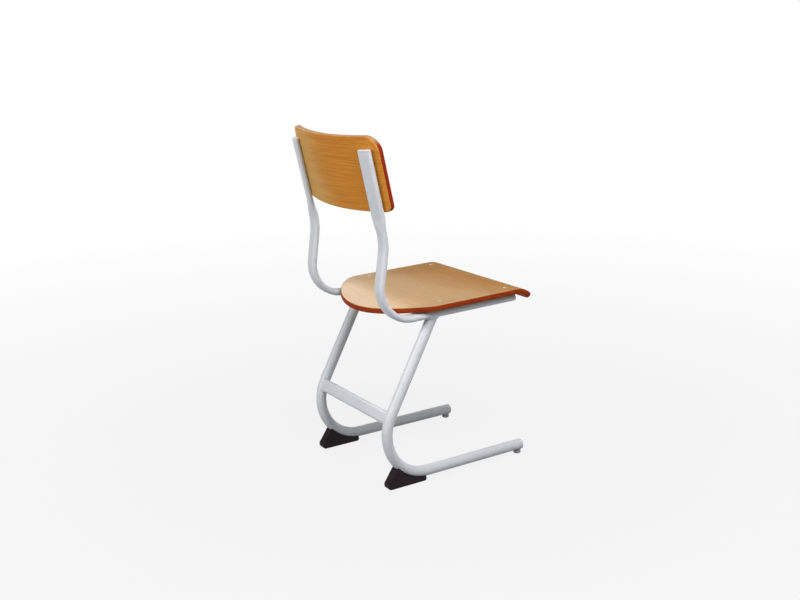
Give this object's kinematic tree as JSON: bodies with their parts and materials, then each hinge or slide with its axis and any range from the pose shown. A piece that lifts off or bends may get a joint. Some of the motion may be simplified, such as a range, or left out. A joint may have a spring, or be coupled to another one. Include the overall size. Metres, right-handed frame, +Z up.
{
  "type": "student desk chair",
  "caption": "Student chair on a sled base: bent steel tube side frames joined by a stretcher, a rounded plywood seat, a curved plywood back and moulded rear feet.",
  "frame": {"origin": "on the floor, in the middle of the chair's bounding box", "axes": "+Z up, the front of the chair toward -Y, the sitter's left toward +X"},
  "size_m": [0.359, 0.4609, 0.8016],
  "materials": {
    "frame_paint": "satin light grey powder coat",
    "seat_plywood": "satin lacquered plywood, pale brown with straight grain",
    "back_plywood": "satin lacquered plywood, orange brown with straight grain",
    "spacer_plastic": "matte moulded",
    "rivet_metal": "satin",
    "foot_plastic": "matte moulded black",
    "screw_steel": "zinc plated",
    "plug_plastic": "matte moulded light grey"
  },
  "bodies": {
    "root": {"left_rail_upright": "frame_paint", "right_rail_upright": "frame_paint", "left_leg_runner": "frame_paint", "right_leg_runner": "frame_paint", "rear_stretcher": "frame_paint", "seat_cross_rail": "frame_paint", "seat_panel": "seat_plywood", "back_panel": "back_plywood", "seat_spacers": "spacer_plastic", "seat_rivets": "rivet_metal", "back_rivets": "rivet_metal", "left_rear_foot": "foot_plastic", "right_rear_foot": "foot_plastic", "foot_screws": "screw_steel", "left_front_glide": "plug_plastic", "right_front_glide": "plug_plastic", "left_upright_plug": "plug_plastic", "right_upright_plug": "plug_plastic", "left_rail_plug": "plug_plastic", "right_rail_plug": "plug_plastic", "left_runner_plug": "plug_plastic", "right_runner_plug": "plug_plastic"}
  },
  "joints": []
}
